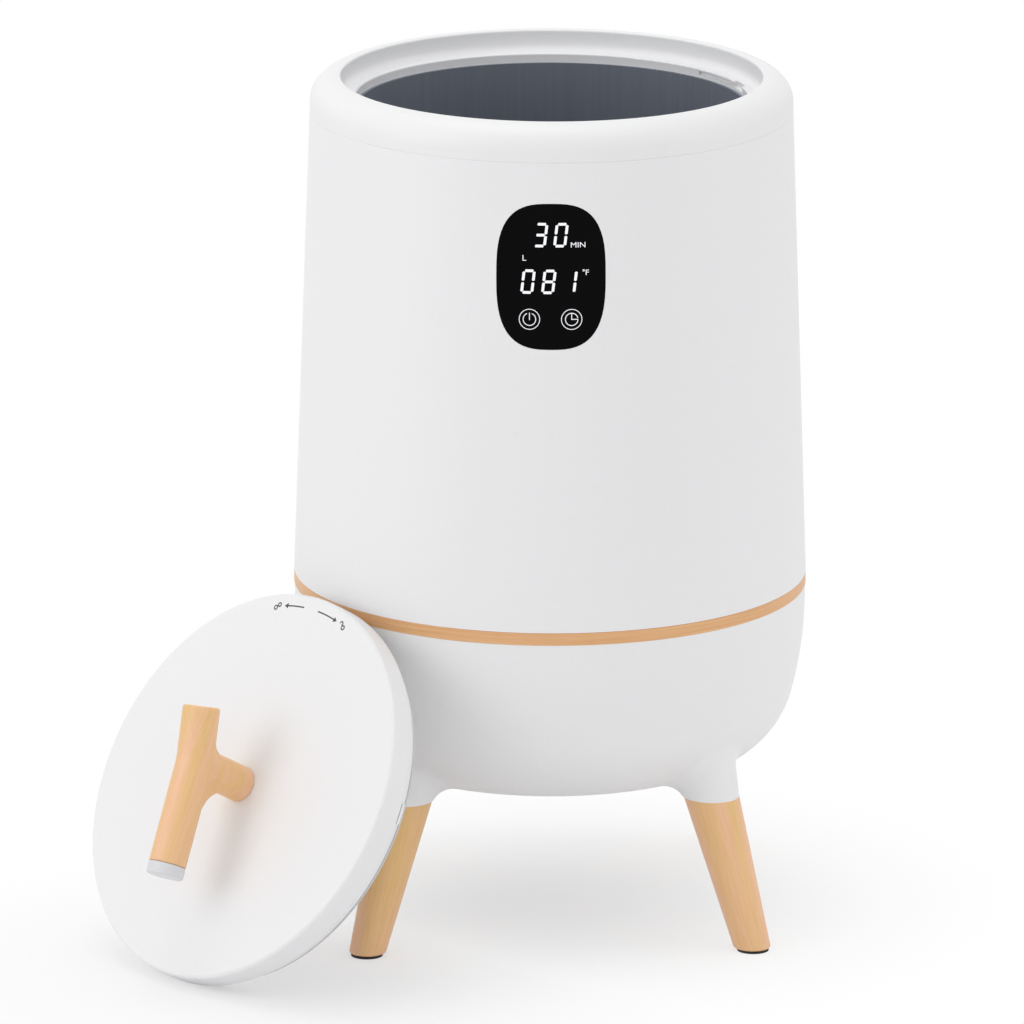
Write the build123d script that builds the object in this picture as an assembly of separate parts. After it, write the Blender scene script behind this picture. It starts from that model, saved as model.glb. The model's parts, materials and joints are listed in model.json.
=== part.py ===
from build123d import *
import os
from math import cos, pi, radians, sin, sqrt, tan

# A towel warmer bucket: a tapered white housing on four splayed wooden legs, with a heated inner
# bucket, a touch display in its wall and a twist-lock lid that leans against it, taken off.
# Millimetres. The origin is on the floor at the bucket's axis, +Z is up and the display faces -Y.

os.makedirs("parts", exist_ok=True)

# ---------------------------------------------------------------- housing
ring_radius = 150.0             # trim ring, the widest place
ring_bottom = 195.0             # height of the trim ring's lower edge
ring_height = 7.5
ring_chamfer = 0.4
wall_thickness = 2.5
wall_draw_in = 9.6              # how much narrower the wall is at the rim seam
wall_height = 274.5             # trim ring to rim seam
seam_rounding = 0.35            # edges that meet at the rim seam
rim_height = 20.5               # rim seam to the crest
rim_width = 17.9                # across the crest, from the wall's line to the pocket
rim_wall = 3.0                  # wall round the pocket
crest_radius = 15.0             # outer rounding of the crest
crest_inner_radius = 1.2
recess_depth = 12.5             # the pocket that the lid drops into
recess_fillet = 4.0
ledge_width = 8.5               # the ledge that carries the lid
ledge_thickness = 5.4
ledge_rounding = 0.8
rim_collar = 9.0                # the rim's collar inside the wall
rim_collar_wall = 2.2
fit_gap = 0.3                   # plain clearance between fitted housings
shaft_gap = 0.05                # clearance of screws, pins and inserts in their holes
hole_spare = 0.4                # blind holes are this much deeper than their screws

# ---------------------------------------------------------------- screws
small_screw_radius = 1.5        # screws of the bottom cover, the bucket's flange and the lid
small_head_radius = 2.7
small_head_height = 1.5
body_screw_radius = 2.0
body_head_radius = 3.8
body_head_height = 2.2
body_screw_bite = 20.0
cover_screw_bite = 2.8
flange_screw_bite = 3.0
lid_screw_bite = 7.0
display_screw_radius = 1.4
display_head_radius = 2.6
display_head_height = 1.6
display_screw_bite = 2.6
board_screw_radius = 1.25
board_head_radius = 2.4
board_head_height = 1.4
board_screw_bite = 5.4

# ---------------------------------------------------------------- base bowl
bowl_wall = 3.0
bowl_step = 0.4                 # the bowl stands back from the trim ring
bowl_straight = 8.0             # upright part under the trim ring
bowl_side_radius = 220.0
bowl_side_sweep = 15.0          # degrees
bowl_corner_radius = 54.0
spigot_gap = 0.4                # upright collar inside the ring and the wall
spigot_wall = 3.6
spigot_height = 15.0            # above the trim ring's lower edge
shelf_width = 20.5              # the shelf that carries the tray, in from the wall's inside
shelf_thickness = 3.0
shelf_drop = 5.0                # shelf underside below the trim ring

# ---------------------------------------------------------------- legs
leg_count = 4
leg_first_azimuth = 48.4        # the legs stand a little round from the display's diagonals
mouth_height = 87.0             # where the leg meets its socket
mouth_inset = 23.0              # socket mouth's centre, in from the bowl's widest place
leg_splay = 20.6
leg_top_radius = 15.7
leg_foot_radius = 10.4
leg_foot_rounding = 1.2
socket_lip = 0.3                # socket mouth stands proud of the leg
socket_flare = 9.0              # half angle of the conical socket
socket_fillet = 13.0
socket_boss_radius = 12.5
socket_boss_height = 34.0
stud_radius = 4.0
stud_in_leg = 34.0
stud_chamfer = 0.6
insert_radius = 6.5
insert_length = 24.0
pad_thickness = 1.6
pad_radius = 9.2

# ---------------------------------------------------------------- bottom cover
cover_margin = 12.2             # cover's edge, in from the bowl's flat bottom's edge
cover_recess = 0.2              # cover set in from the bowl's bottom
cover_thickness = 3.0
cover_rim = 10.7                # cover's edge to the bowl's opening
cover_seat = 4.0                # thickness of the ring that the cover's screws bite into
cover_seat_width = 16.7
cover_screw_count = 6
cover_screw_inset = 5.7
vent_width = 3.2
vent_length = 20.0
vent_margin = 11.0              # slots' outer ends, in from the bowl's opening
vent_count = 24
standoff_height = 13.0
standoff_radius = 4.0

# ---------------------------------------------------------------- inner bucket and heating
bucket_set_back = 1.7           # bucket's inside behind the ledge's edge
bucket_wall = 1.2
bucket_floor = 207.0            # inside floor's height
bucket_corner = 14.0
flange_width = 9.5
heater_thickness = 1.5
heater_gap = 0.1
heater_seam = 6.0               # where the mat's two ends meet
heater_bottom = 238.0
heater_height = 190.0
sleeve_thickness = 6.2          # felt insulation
sleeve_top_gap = 8.0            # below the bucket's flange
flange_screw_count = 6
flange_screw_offset = 5.0       # from the bucket's outside
flange_screw_azimuth = 60.0
tray_thickness = 3.0
tray_gap = 1.2                  # tray inside the collar
passage_width = 26.0            # way for the leads, through the sleeve's foot and the tray
passage_depth = 8.0
passage_height = 44.0
sensor_hole_radius = 17.0
sensor_radius = 5.0
sensor_height = 4.5
sensor_place = -12.0            # from the bucket's axis
cutout_radius = 8.0
cutout_height = 6.0
cutout_place = 9.0
body_screw_count = 4
body_screw_inset = 14.0         # from the wall's line to the screws
body_boss_radius = 5.0
body_boss_height = 44.0
body_rib = 3.0
felt_inner_radius = 24.0
felt_margin = 15.5              # bottom felt's edge, in from the bucket's outside

# ---------------------------------------------------------------- display in the wall
display_width = 62.5
display_height = 85.0
display_drop = 66.0             # its centre below the rim's seam
display_power = 2.9             # superellipse power of its outline
display_gap = 0.15
frame_border = 4.0              # how far the light frame reaches past the window
frame_depth = 12.3              # wall's inside to the frame's back plane
frame_ear = 9.0
frame_ear_thickness = 2.0
ear_offset = 3.5                # ears' screws past the frame's side
ear_rise = 26.0                 # ears' screws above and below the display's centre
display_boss_radius = 3.2
board_thickness = 1.6
board_margin = 0.5              # display board inside the frame's outline
digit_height = 15.0
digit_width = 9.0
digit_depth = 5.5
digit_pitch = 12.5
upper_digits = (2, 3.0, 24.0)   # how many, and their middle from the display's centre
lower_digits = (3, -2.0, -3.0)
cell_gap = 0.2                  # light cells round digits and keys
key_spacing = 25.4              # between the two touch keys
key_drop = 25.5                 # keys below the display's centre
key_radius = 6.0
key_gap = 1.2                   # foam posts behind the window

# ---------------------------------------------------------------- power board
board_length = 92.0
board_width = 62.0
board_hole_inset = 5.0
block_length = 26.0             # terminal block
block_width = 11.0
block_height = 13.0
block_place = (-4.0, 22.0)
block_pitch = 8.0
block_well_radius = 2.6
block_well_depth = 7.0
core_size = (24.0, 28.0, 21.0)
bobbin_size = (30.0, 18.0, 17.0)
transformer_place = (-26.0, -4.0)
relay_size = (19.0, 15.5, 15.5)
relay_place = (30.0, 6.0)
can_radius = 6.0
can_height = 18.0
can_rounding = 1.0
can_places = ((2.0, -14.0), (18.0, -14.0))

# ---------------------------------------------------------------- cord inlet
inlet_height = 152.0
inlet_bore_radius = 3.7
gland_radius = 7.0
gland_flange_radius = 9.8
gland_flange = 3.0
gland_rounding = 1.2
gland_boss_radius = 12.0
gland_boss_depth = 9.6
gland_nut_radius = 10.0
gland_nut_height = 4.0
gland_tail = 1.5                # thread past the nut

# ---------------------------------------------------------------- lid
lid_side_gap = 5.5              # lid in its pocket
lid_thickness = 15.8
lid_skin = 2.5
lid_top_fillet = 1.8
lid_edge_fillet = 1.0
plug_gap = 0.6                  # plug in the ledge
plug_short = 0.4                # plug's upright part, shorter than the ledge is thick
plug_collar = 2.2               # plug's collar inside the lid's skirt
groove_depth = 4.6              # seal's groove
groove_height = 3.8
plug_lip_gap = 2.3              # plug's foot in the bucket
plug_lip = 1.2
plug_skin = 2.2
seal_side_gap = 0.8             # seal in the bucket
seal_gap = 0.3                  # seal in its groove
seal_lip = 0.9
seal_waist = 1.2
lug_reach = 2.2                 # bayonet lugs beyond the plug
lug_height = 1.8
lug_drop = 1.7                  # lug below the lid's underside
lug_angle = 6.0
notch_azimuth = 17.0
notch_gap = 0.4
lock_angle = 20.0               # twist from open to locked
notch_spare = 0.8               # degrees either side of a lug
lid_boss_count = 4
lid_boss_first = 45.0
lid_boss_circle = 70.0
lid_boss_radius = 4.5
lid_boss_gap = 0.1
lid_insulation_gap = 1.0
lid_insulation_drop = 5.0
lid_insulation_hole = 14.0

# ---------------------------------------------------------------- lid handle, a forked branch
stem_radius = 10.6
stem_height = 40.0              # lid face to the grip's bend
grip_radius = 10.9
grip_upper = 32.5               # bend to the upper end
grip_upper_rise = 14.0          # degrees away from the lid
grip_lower = 61.2
grip_lower_rise = -3.4
grip_bend_radius = 55.0
grip_end_rounding = 1.2
fork_upper_fillet = 7.0
fork_lower_fillet = 13.0
web_inset = 2.65                # web's edges inside the stem's sides
web_depth = 6.6                 # half of its thickness
cap_height = 7.0
cap_gap = 0.2
cap_rounding = 1.0
cap_spigot_radius = 6.0
cap_spigot = 8.0
handle_boss_radius = 11.0
handle_boss_height = 4.0
handle_screw_radius = 2.5
handle_screw_bite = 12.0
handle_head_radius = 5.0
handle_head_height = 3.2
handle_insert_radius = 4.2
handle_insert_length = 16.0
washer_radius = 7.5
washer_thickness = 1.2

# ---------------------------------------------------------------- how the lid leans
lean_azimuth = -141.5           # direction of the lid's centre from the bucket's axis
lean_twist = 3.0                # the lid faces this much past that direction
lean_tilt = 29.7                # the lid's face from upright
lean_roll = 7.0                 # the lid turned about its own axis
lean_gap = 0.1

# ---------------------------------------------------------------- wires
wire_radius = 1.3
wire_bend = 7.0
ribbon_radius = 1.6
lead_end_gap = 0.1              # leads end this far from what they join
lead_rise = 26.0                # last straight part above the power board
lead_dip = 22.0
passage_drop = 25.0             # where the leads enter the sleeve's foot, below the mat
passage_slope = 16.0
tray_clearance = 14.0           # leads' bend below the tray's shelf
sensor_lead_drop = 36.0
heater_lead_offset = 2.2
heater_lead_ends = ((25.0, -26.0), (30.0, -26.0))
display_lead_offset = 8.0
display_lead_end = (38.0, -20.0)
sensor_lead_end = (-3.0, 6.0)
cutout_lead_end = (12.0, 6.0)

# ---------------------------------------------------------------- worked out
ring_top = ring_bottom + ring_height
seam_height = ring_top + wall_height
display_middle = seam_height - display_drop
crest_height = seam_height + rim_height
ledge_height = crest_height - recess_depth
ledge_underside = ledge_height - ledge_thickness
wall_top_radius = ring_radius - wall_draw_in
recess_radius = wall_top_radius - rim_width
ledge_radius = recess_radius - ledge_width
bucket_radius = ledge_radius - bucket_set_back
bucket_outer = bucket_radius + bucket_wall
bucket_underside = bucket_floor - bucket_wall
flange_radius = bucket_outer + flange_width
flange_underside = ledge_underside - bucket_wall
flange_screw_circle = bucket_outer + flange_screw_offset
heater_inner = bucket_outer + heater_gap
sleeve_inner = bucket_outer + heater_thickness + fit_gap
sleeve_radius = sleeve_inner + sleeve_thickness
lead_reach = (sleeve_inner - fit_gap + sleeve_radius) / 2
spigot_radius = ring_radius - wall_thickness - fit_gap - spigot_gap
tray_radius = spigot_radius - spigot_wall - tray_gap
shelf_inner_radius = ring_radius - wall_thickness - shelf_width
shelf_bottom = ring_bottom - shelf_drop
shelf_top = shelf_bottom + shelf_thickness
tray_bottom = shelf_top
tray_top = tray_bottom + tray_thickness
body_screw_circle = ring_radius - body_screw_inset
bowl_radius = ring_radius - bowl_step
bowl_shoulder = ring_bottom - bowl_straight
bowl_knee = (bowl_radius - bowl_side_radius * (1 - cos(radians(bowl_side_sweep))),
             bowl_shoulder - bowl_side_radius * sin(radians(bowl_side_sweep)))
bowl_flat_radius = bowl_knee[0] - bowl_corner_radius * cos(radians(bowl_side_sweep))
bowl_bottom = bowl_knee[1] - bowl_corner_radius * (1 - sin(radians(bowl_side_sweep)))
mouth_reach = bowl_radius - mouth_inset
foot_reach = mouth_reach + (mouth_height - pad_thickness / 2) * tan(radians(leg_splay))
cover_bottom = bowl_bottom + cover_recess
cover_top = cover_bottom + cover_thickness
cover_radius = bowl_flat_radius - cover_margin
cover_opening_radius = cover_radius - cover_rim
cover_screw_circle = cover_radius - cover_screw_inset
vent_outer_radius = cover_opening_radius - vent_margin
vent_inner_radius = vent_outer_radius - vent_length
board_height = cover_top + standoff_height
board_face = board_height + board_thickness
gland_boss_face = bowl_radius
gland_outer_end = gland_boss_face + gland_flange
gland_inner_end = gland_boss_face - gland_boss_depth - gland_nut_height - gland_tail
lid_radius = recess_radius - lid_side_gap
plug_radius = ledge_radius - plug_gap
plug_height = ledge_thickness - plug_short
plug_lip_radius = bucket_radius - plug_lip_gap
plug_foot = -(lid_thickness + plug_height + groove_height + plug_lip)
plug_floor_top = plug_foot + plug_skin
groove_radius = plug_radius - groove_depth
seal_radius = bucket_radius - seal_side_gap
washer_top = -(lid_skin + handle_boss_height)
washer_foot = washer_top - washer_thickness
far = 4 * ring_radius           # longer than anything that it cuts
past = 1.0                      # how far cutting tools run past what they cut
UP = (Align.CENTER, Align.CENTER, Align.MIN)


def wall_radius(height):
    """Outside radius of the tapered wall at a height."""
    return ring_radius - (height - ring_top) * (ring_radius - wall_top_radius) / wall_height


wall_inside = wall_radius(display_middle) - wall_thickness
frame_back = wall_inside - frame_depth


def turned(corners, radii=None):
    """A body of revolution from closed (radius, height) corners, with an optional rounding for each."""
    if radii is None:
        outline = Polyline(*corners, close=True)
    else:
        outline = FilletPolyline(*corners, radius=radii, close=True)
    return revolve(Plane.XZ * make_face(outline), Axis.Z)


def rod(radius, bottom, top):
    """A plain cylinder standing on a height."""
    return Pos(0, 0, bottom) * Cylinder(radius, top - bottom, align=UP)


def tube(outer, inner, bottom, top):
    """A plain tube round the axis."""
    return rod(outer, bottom, top) - rod(inner, bottom, top)


def around(shape, count, first_azimuth=0.0):
    """Copies of a shape turned round the bucket's axis."""
    return [Rot(0, 0, first_azimuth + 360 / count * k) * shape for k in range(count)]


def screw(shank_radius, shank_length, head_radius, head_height):
    """A pan-head screw pointing up, its head under z = 0, with a cross recess."""
    body = rod(shank_radius, 0, shank_length) + rod(head_radius, -head_height, 0)
    blade = Box(head_radius * 1.2, head_radius * 0.3, head_height * 0.5, align=UP)
    cross = blade + Rot(0, 0, 90) * blade
    return body - Pos(0, 0, -head_height) * cross


def group(shapes):
    """Separate solids in one node."""
    return Compound([solid for shape in shapes for solid in shape.solids()])


def squircle(width, height):
    """Closed superellipse outline in its own XY plane."""
    points = []
    for k in range(24):
        turn = 2 * pi * k / 24
        x = abs(cos(turn)) ** (2 / display_power) * width / 2
        y = abs(sin(turn)) ** (2 / display_power) * height / 2
        points.append((x if cos(turn) >= 0 else -x, y if sin(turn) >= 0 else -y))
    return make_face(Spline(*points, periodic=True))


def on_front(x, height, reach):
    """A place on the display, its z pointing out through the front wall."""
    return Pos(x, -reach, height) * Rot(90, 0, 0)


def through_front(outline):
    """A prism through the front wall, from an outline drawn as seen from the front."""
    front = Plane(origin=(0, -frame_back, display_middle), x_dir=(1, 0, 0), z_dir=(0, -1, 0))
    return extrude(front * outline, ring_radius)


to_rear = Pos(0, 0, inlet_height) * Rot(-90, 0, 0)      # z along the cord inlet, outwards


def wire(points, radius, bend):
    """A round lead of straight runs joined by arcs."""
    path = FilletPolyline(*points, radius=bend)
    start = Plane(origin=path @ 0, z_dir=path % 0)
    return sweep(start * Circle(radius), path=path)


def save(name, shape):
    """Write one node."""
    export_step(shape, f"parts/{name}.step")


# ================================================================ housing
def wall_shell(outer_gap=0.0, inner_gap=0.0):
    """The tapered wall, with its outside and inside moved in by two gaps."""
    return turned([(ring_radius - outer_gap, ring_top), (wall_top_radius - outer_gap, seam_height),
                   (wall_top_radius - wall_thickness - inner_gap, seam_height),
                   (ring_radius - wall_thickness - inner_gap, ring_top)], [0, seam_rounding, 0, 0])


def wall_space(gap, bottom):
    """Room inside the wall, less a gap, from a height up."""
    foot = ring_radius - wall_thickness - gap
    head = wall_top_radius - wall_thickness - gap
    return turned([(0, bottom), (foot, bottom), (foot, ring_top), (head, seam_height), (0, seam_height)])


def make_outer_wall():
    """Tapered wall with the display's window, four screw bosses at its foot and four at the display."""
    wall = wall_shell() - through_front(squircle(display_width, display_height))
    weld = wall_space(-wall_thickness / 2, shelf_bottom)
    rib_bottom = ring_bottom + spigot_height + past
    boss_top = tray_top + body_boss_height
    boss = Pos(body_screw_circle, 0, 0) * rod(body_boss_radius, tray_top, boss_top)
    rib = Pos((body_screw_circle + ring_radius) / 2, 0, rib_bottom) * Box(
        body_screw_inset, body_rib, boss_top - rib_bottom, align=UP)
    hole = Pos(body_screw_circle, 0, 0) * rod(body_screw_radius + shaft_gap, tray_top - past,
                                              tray_top + body_screw_bite + hole_spare)
    post = (boss + (rib & weld)) - hole
    for piece in around(post, body_screw_count):
        wall += piece
    foot = frame_back + frame_ear_thickness
    for x, height in display_screw_places():
        column = on_front(x, height, foot) * Cylinder(display_boss_radius, ring_radius, align=UP)
        wall += column & weld
        wall -= on_front(x, height, foot - past) * Cylinder(
            display_screw_radius + shaft_gap, display_screw_bite + hole_spare + past, align=UP)
    return wall


def display_screw_places():
    """Where the light frame's screws stand, as (x, height)."""
    across = display_width / 2 + frame_border + ear_offset
    return [(side * across, display_middle + up * ear_rise) for side in (-1, 1) for up in (-1, 1)]


def make_top_rim():
    """Rounded rim with the lid's pocket, the ledge and the two bayonet notches."""
    collar_outer = wall_top_radius - wall_thickness - fit_gap
    collar_inner = collar_outer - rim_collar_wall
    pocket_outer = recess_radius + rim_wall
    corners = [(wall_top_radius, seam_height), (wall_top_radius - 0.2, crest_height),
               (recess_radius, crest_height), (recess_radius, ledge_height),
               (ledge_radius, ledge_height), (ledge_radius, ledge_underside),
               (pocket_outer, ledge_underside), (pocket_outer, crest_height - 1.5 * rim_wall),
               (collar_inner, crest_height - 3 * rim_wall), (collar_inner, seam_height - rim_collar),
               (collar_outer, seam_height - rim_collar), (collar_outer, seam_height)]
    radii = [seam_rounding, crest_radius, crest_inner_radius, recess_fillet, ledge_rounding, 0, 0, 1.0, 2.0, 0, 0, 0]
    rim = turned(corners, radii)
    bite = plug_radius + lug_reach + notch_gap
    floor = ledge_height - lug_drop - lug_height - notch_gap / 2
    roof = ledge_height - lug_drop + notch_gap / 2
    start = notch_azimuth - lug_angle / 2 - notch_spare
    end = notch_azimuth + lug_angle / 2 + notch_spare
    for turn in (0, 180):
        rim -= sector(ledge_radius - past, bite, floor, ledge_height + past, turn + start, turn + end)
        rim -= sector(ledge_radius - past, bite, floor, roof, turn + start, turn + end + lock_angle)
    hole = Pos(flange_screw_circle, 0, 0) * rod(small_screw_radius + shaft_gap, ledge_underside - past,
                                                ledge_underside + flange_screw_bite + hole_spare)
    for piece in around(hole, flange_screw_count, flange_screw_azimuth):
        rim -= piece
    return rim


def sector(inner, outer, bottom, top, start, end):
    """Part of a square-sectioned ring between two azimuths."""
    profile = Plane.XZ * (Pos((inner + outer) / 2, (bottom + top) / 2) * Rectangle(
        outer - inner, top - bottom))
    return Rot(0, 0, start) * revolve(profile, Axis.Z, end - start)


def make_trim_ring():
    """Copper-coloured ring between the base and the wall, slipped over the bowl's collar."""
    inner = spigot_radius + fit_gap
    return turned([(inner, ring_bottom), (ring_radius - ring_chamfer, ring_bottom),
                   (ring_radius, ring_bottom + ring_chamfer), (ring_radius, ring_top - ring_chamfer),
                   (ring_radius - ring_chamfer, ring_top), (inner, ring_top)])


# ================================================================ base bowl
def bowl_outline(shrink, top):
    """Half section of the bowl's outside, moved inwards by shrink, up to a height."""
    side_centre = (bowl_radius - bowl_side_radius, bowl_shoulder)
    corner_centre = (bowl_flat_radius, bowl_bottom + bowl_corner_radius)
    side = bowl_side_radius - shrink
    corner = bowl_corner_radius - shrink
    half_way = radians(bowl_side_sweep / 2)
    knee_turn = radians(bowl_side_sweep)
    corner_turn = radians((90 + bowl_side_sweep) / 2)

    def on(centre, radius, turn):
        return (centre[0] + radius * cos(turn), centre[1] - radius * sin(turn))

    shoulder = (bowl_radius - shrink, bowl_shoulder)
    knee = on(side_centre, side, knee_turn)
    flat = (bowl_flat_radius, bowl_bottom + shrink)
    edges = [Line((0, top), (bowl_radius - shrink, top)),
             Line((bowl_radius - shrink, top), shoulder),
             ThreePointArc(shoulder, on(side_centre, side, half_way), knee),
             ThreePointArc(knee, on(corner_centre, corner, corner_turn), flat),
             Line(flat, (0, bowl_bottom + shrink)),
             Line((0, bowl_bottom + shrink), (0, top))]
    return revolve(Plane.XZ * make_face(edges), Axis.Z)


leg_plane = Plane(origin=(mouth_reach, 0, mouth_height),
                  x_dir=(cos(radians(leg_splay)), 0, sin(radians(leg_splay))),
                  z_dir=(-sin(radians(leg_splay)), 0, cos(radians(leg_splay))))
above_mouth = Pos(0, 0, mouth_height) * Box(far, far, far, align=UP)


def make_socket():
    """Conical socket for a leg, cut level at its mouth."""
    below = leg_top_radius
    above = 3 * leg_top_radius
    widening = tan(radians(socket_flare))
    mouth = leg_top_radius + socket_lip
    cone = Cone(mouth - below * widening, mouth + above * widening, below + above, align=UP)
    return (leg_plane.location * Pos(0, 0, -below) * cone) & above_mouth


def make_base_bowl():
    """Bowl-shaped base with four leg sockets, the collar, the shelf and the cord inlet's boss."""
    body = bowl_outline(0, ring_bottom)
    for piece in around(make_socket(), leg_count, leg_first_azimuth):
        body += piece
    body = fillet(junction_edges(body), socket_fillet)
    body -= bowl_outline(bowl_wall, ring_bottom + past)
    body += to_rear * rod(gland_boss_radius, gland_boss_face - gland_boss_depth, gland_boss_face)
    socket_boss = (leg_plane.location * rod(socket_boss_radius, 0, socket_boss_height)) & above_mouth
    for piece in around(socket_boss, leg_count, leg_first_azimuth):
        body += piece
    body += make_collar()
    seat_outer = cover_opening_radius + cover_seat_width
    body += tube(seat_outer, cover_opening_radius, bowl_bottom + bowl_wall / 2, cover_top + cover_seat)
    body -= rod(cover_radius + fit_gap, bowl_bottom - past, cover_top)
    body -= rod(cover_opening_radius, bowl_bottom - past, cover_top + cover_seat + past)
    insert_hole = leg_plane.location * rod(insert_radius + shaft_gap, -leg_top_radius, insert_length)
    for piece in around(insert_hole, leg_count, leg_first_azimuth):
        body -= piece
    screw_hole = Pos(body_screw_circle, 0, 0) * rod(
        body_screw_radius + 2 * shaft_gap, shelf_bottom - past, shelf_top + past)
    for piece in around(screw_hole, body_screw_count):
        body -= piece
    cover_hole = Pos(cover_screw_circle, 0, 0) * rod(
        small_screw_radius + shaft_gap, cover_top - past, cover_top + cover_screw_bite + hole_spare)
    for piece in around(cover_hole, cover_screw_count):
        body -= piece
    gland_hole = rod(gland_radius + shaft_gap, gland_inner_end, gland_outer_end)
    return body - to_rear * gland_hole


def make_collar():
    """The bowl's upright collar and the shelf inside it."""
    weld = bowl_radius - bowl_wall / 3
    collar_top = ring_bottom + spigot_height
    inner = spigot_radius - spigot_wall
    return turned([(shelf_inner_radius, shelf_bottom), (weld, shelf_bottom), (weld, ring_bottom),
                   (spigot_radius, ring_bottom), (spigot_radius, collar_top), (inner, collar_top),
                   (inner, shelf_top), (shelf_inner_radius, shelf_top)])


def junction_edges(body):
    """The curves where the conical sockets leave the bowl."""
    curves = body.edges().filter_by(GeomType.BSPLINE)
    return [edge for edge in curves if edge.bounding_box().min.Z > mouth_height]


def make_bottom_cover():
    """Vented cover in the base, with four standoffs for the power board."""
    cover = rod(cover_radius, cover_bottom, cover_top)
    for x, y in board_holes():
        cover += Pos(x, y, 0) * rod(standoff_radius, cover_top, board_height)
    clear = [Pos(x, y, 0) * rod(1.3 * standoff_radius, cover_bottom - past, cover_top + past)
             for x, y in board_holes()]
    slot = Pos((vent_inner_radius + vent_outer_radius) / 2, 0, cover_bottom - past) * extrude(
        SlotOverall(vent_length, vent_width), cover_thickness + 2 * past)
    for piece in around(slot, vent_count):
        for keep in clear:
            piece -= keep
        cover -= piece
    for x, y in board_holes():
        cover -= Pos(x, y, 0) * rod(board_screw_radius + shaft_gap,
                                    board_height - board_screw_bite - hole_spare, board_height + past)
    hole = Pos(cover_screw_circle, 0, 0) * rod(
        small_screw_radius + 2 * shaft_gap, cover_bottom - past, cover_top + past)
    for piece in around(hole, cover_screw_count):
        cover -= piece
    return cover


def board_holes():
    """Corners of the power board where its standoffs are."""
    x = board_length / 2 - board_hole_inset
    y = board_width / 2 - board_hole_inset
    return [(-x, -y), (x, -y), (-x, y), (x, y)]


# ================================================================ legs
def make_leg():
    """Turned leg, cut level at both ends, with the bore for its stud."""
    length = mouth_height / cos(radians(leg_splay))
    slope = (leg_top_radius - leg_foot_radius) / length
    spare = leg_foot_radius
    cone = leg_plane.location * Pos(0, 0, -length - spare) * Cone(
        leg_foot_radius - slope * spare, leg_top_radius + slope * spare, length + 2 * spare, align=UP)
    leg = cone & (Pos(0, 0, pad_thickness) * Box(far, far, mouth_height - pad_thickness, align=UP))
    leg = fillet(leg.edges().sort_by(Axis.Z)[0], leg_foot_rounding)
    return leg - leg_plane.location * rod(stud_radius + shaft_gap, -stud_in_leg - hole_spare,
                                          leg_top_radius)


def make_stud():
    """Steel stud that joins a leg to its socket."""
    stud = rod(stud_radius, -stud_in_leg, insert_length - 2 * hole_spare)
    return leg_plane.location * chamfer(stud.edges(), stud_chamfer)


def make_insert():
    """Brass insert in a leg socket."""
    body = tube(insert_radius, stud_radius + shaft_gap, 0, insert_length - hole_spare)
    return (leg_plane.location * body) & above_mouth


def make_pad():
    """Round rubber pad under a foot."""
    return Pos(foot_reach, 0, 0) * rod(pad_radius, 0, pad_thickness)


# ================================================================ inner bucket and heating
def make_inner_bucket():
    """Coated aluminium bucket hung under the ledge by its flange."""
    outside = turned([(0, bucket_underside), (bucket_outer, bucket_underside),
                      (bucket_outer, flange_underside), (flange_radius, flange_underside),
                      (flange_radius, ledge_underside), (0, ledge_underside)],
                     [0, bucket_corner + bucket_wall, bucket_wall, 0, 0, 0])
    inside = turned([(0, bucket_floor), (bucket_radius, bucket_floor),
                     (bucket_radius, ledge_underside + past), (0, ledge_underside + past)],
                    [0, bucket_corner, 0, 0])
    bucket = outside - inside
    hole = Pos(flange_screw_circle, 0, 0) * rod(
        small_screw_radius + 2 * shaft_gap, flange_underside - past, ledge_underside + past)
    for piece in around(hole, flange_screw_count, flange_screw_azimuth):
        bucket -= piece
    return bucket


def make_heater():
    """Silicone heating mat wrapped round the bucket, with a seam at the back."""
    mat = tube(heater_inner + heater_thickness, heater_inner, heater_bottom,
               heater_bottom + heater_height)
    seam = Pos(0, heater_inner, heater_bottom - past) * Box(
        heater_seam, 4 * heater_thickness, heater_height + 2 * past, align=UP)
    return mat - seam


def make_sleeve():
    """Felt sleeve round the heater, with a passage for the leads in its foot."""
    foot = tray_top + fit_gap
    sleeve = tube(sleeve_radius, sleeve_inner, foot, flange_underside - sleeve_top_gap)
    return sleeve - Pos(0, -lead_reach, foot - past) * Box(
        passage_width, 3 * passage_depth, passage_height, align=UP)


def make_bottom_felt():
    """Felt disc between the tray and the bucket's floor, with a hole for the two sensors."""
    return tube(bucket_outer - felt_margin, felt_inner_radius, tray_top, bucket_underside - fit_gap)


def make_tray():
    """Tray that closes the heating space off from the electronics, with a passage for the leads."""
    bottom = tray_bottom - past
    tray = rod(tray_radius, tray_bottom, tray_top)
    hole = Pos(body_screw_circle, 0, 0) * rod(body_screw_radius + 2 * shaft_gap, bottom, tray_top + past)
    for piece in around(hole, body_screw_count):
        tray -= piece
    tray -= rod(sensor_hole_radius, bottom, tray_top + past)
    return tray - Pos(0, -lead_reach, bottom) * Box(
        passage_width, passage_depth, tray_thickness + 2 * past, align=UP)


def make_puck(x, radius, height):
    """Round sensor pressed against the bucket's floor."""
    return Pos(x, 0, 0) * rod(radius, bucket_underside - height, bucket_underside)


# ================================================================ display
def make_display_window():
    """Curved black window, flush with the wall."""
    outline = squircle(display_width - 2 * display_gap, display_height - 2 * display_gap)
    return wall_shell() & through_front(outline)


def digit_places():
    """Centres of the seven-segment digits, as (x, height above the display's middle)."""
    places = []
    for count, x, up in (upper_digits, lower_digits):
        places += [(x + (k - (count - 1) / 2) * digit_pitch, up) for k in range(count)]
    return places


def key_places():
    """Centres of the two touch keys."""
    return [(side * key_spacing / 2, -key_drop) for side in (-1, 1)]


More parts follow.
